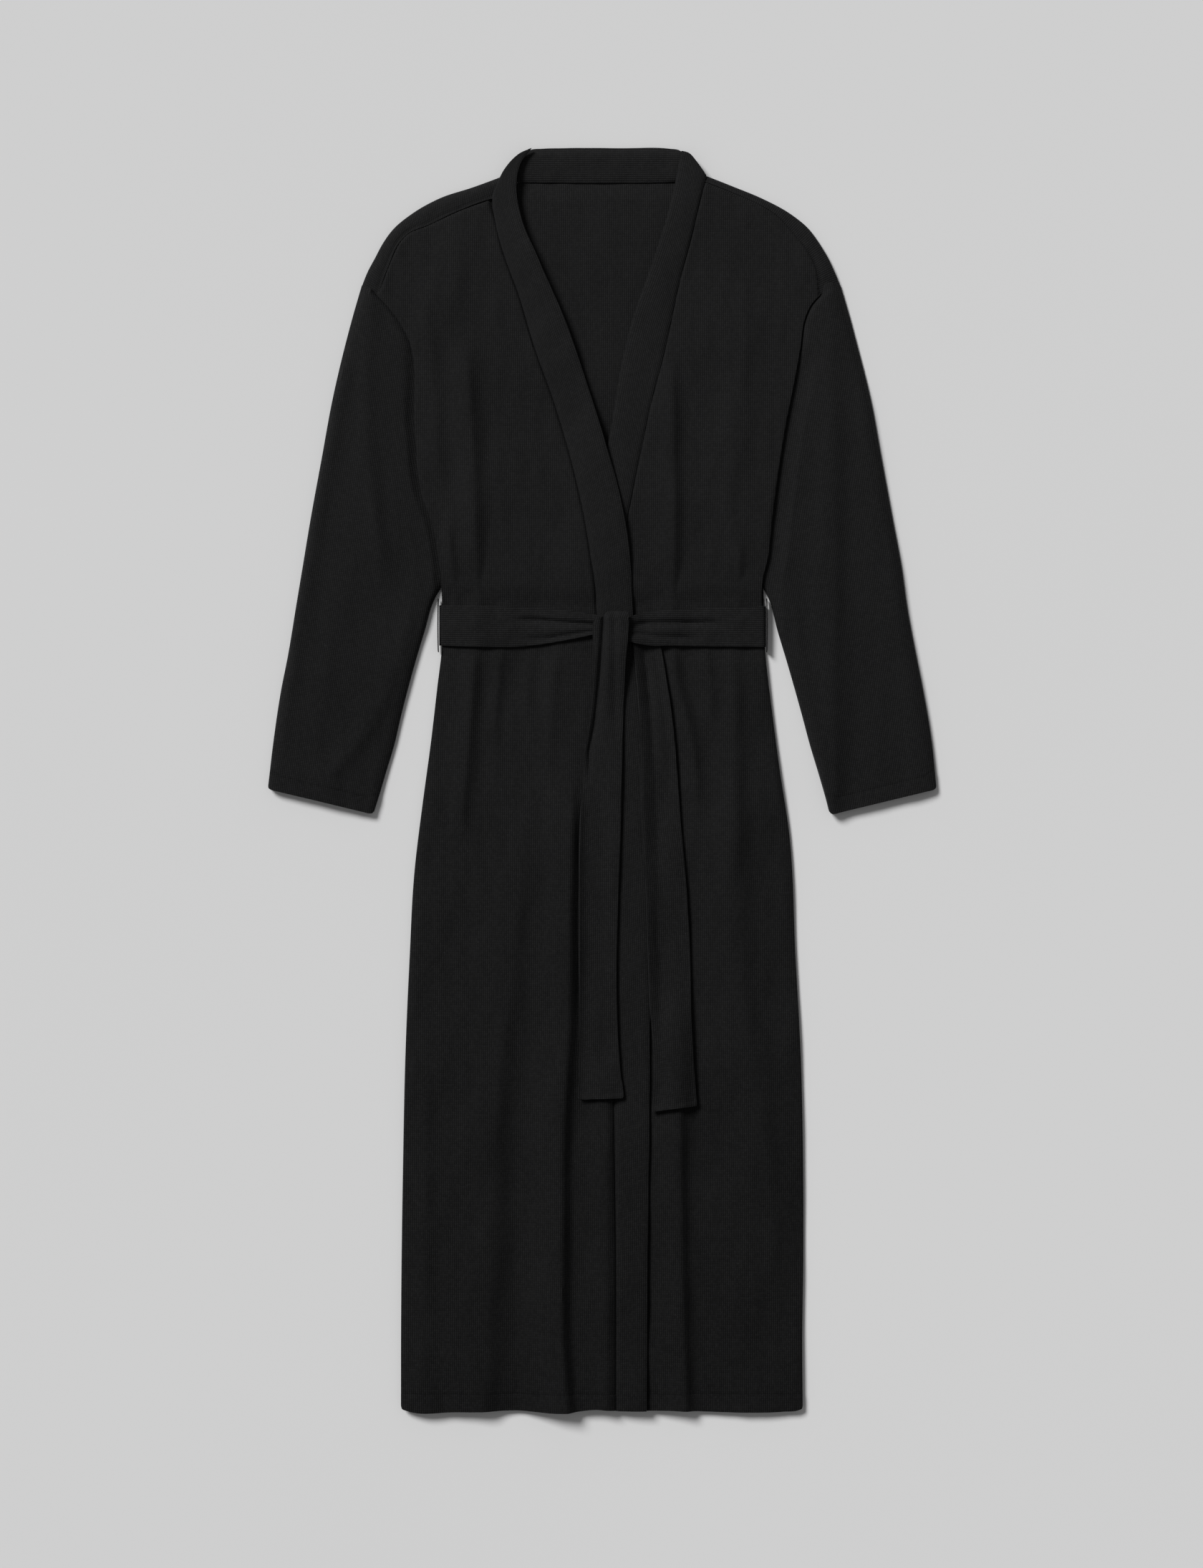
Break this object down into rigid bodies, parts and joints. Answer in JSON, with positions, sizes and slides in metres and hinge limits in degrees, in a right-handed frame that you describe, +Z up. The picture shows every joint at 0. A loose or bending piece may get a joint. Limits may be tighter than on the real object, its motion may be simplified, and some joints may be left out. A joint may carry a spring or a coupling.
{
  "type": "wrap bathrobe",
  "caption": "Full-length waffle-knit wrap robe with a banded neckline, drop-shoulder sleeves and a tied cloth belt, laid flat on its back.",
  "frame": {"origin": "on the surface the robe lies on, under the middle of its outline", "axes": "+X towards the wearer's left, +Y from the hem to the collar, +Z up out of the front of the robe"},
  "size_m": [0.7016, 1.322, 0.0278],
  "materials": {
    "body_knit": "matt black waffle knit",
    "band_knit": "matt black waffle knit, folded double with the ribs on the slant",
    "belt_knit": "matt black waffle knit, folded double with the ribs along its length",
    "seam_knit": "matt black overlocked seam allowance"
  },
  "bodies": {
    "robe": {"back_panel": "body_knit", "back_hem": "body_knit", "right_front_panel": "body_knit", "left_front_panel": "body_knit", "right_front_hem": "body_knit", "left_front_hem": "body_knit", "right_front_band": "band_knit", "left_front_band": "band_knit", "neck_band": "band_knit", "belt_back": "belt_knit", "belt_right_half": "belt_knit", "belt_left_half": "belt_knit", "knot": "belt_knit", "right_belt_loop": "belt_knit", "left_belt_loop": "belt_knit", "right_skirt_side_seam": "seam_knit", "left_skirt_side_seam": "seam_knit", "right_bodice_side_seam": "seam_knit", "left_bodice_side_seam": "seam_knit"},
    "right_sleeve": {"right_sleeve": "body_knit", "right_sleeve_hem": "body_knit", "right_sleeve_seam": "seam_knit"},
    "left_sleeve": {"left_sleeve": "body_knit", "left_sleeve_hem": "body_knit", "left_sleeve_seam": "seam_knit"},
    "right_tail": {"right_belt_tail": "belt_knit"},
    "left_tail": {"left_belt_tail": "belt_knit"}
  },
  "joints": [
    {"name": "right_sleeve_swing", "type": "hinge", "parent": "robe", "child": "right_sleeve", "pos_m": [-0.252, 0.514, 0.005], "axis": [0, 0, -1], "range_deg": [0, 15]},
    {"name": "left_sleeve_swing", "type": "hinge", "parent": "robe", "child": "left_sleeve", "pos_m": [0.252, 0.514, 0.005], "axis": [0, 0, 1], "range_deg": [0, 15]},
    {"name": "right_tail_swing", "type": "hinge", "parent": "robe", "child": "right_tail", "pos_m": [0.009, 0.161, 0.0215], "axis": [0, 0, 1], "range_deg": [-20, 12]},
    {"name": "left_tail_swing", "type": "hinge", "parent": "robe", "child": "left_tail", "pos_m": [0.044, 0.161, 0.0161], "axis": [-0.0436, 0, 0.999], "range_deg": [0, 16]}
  ]
}
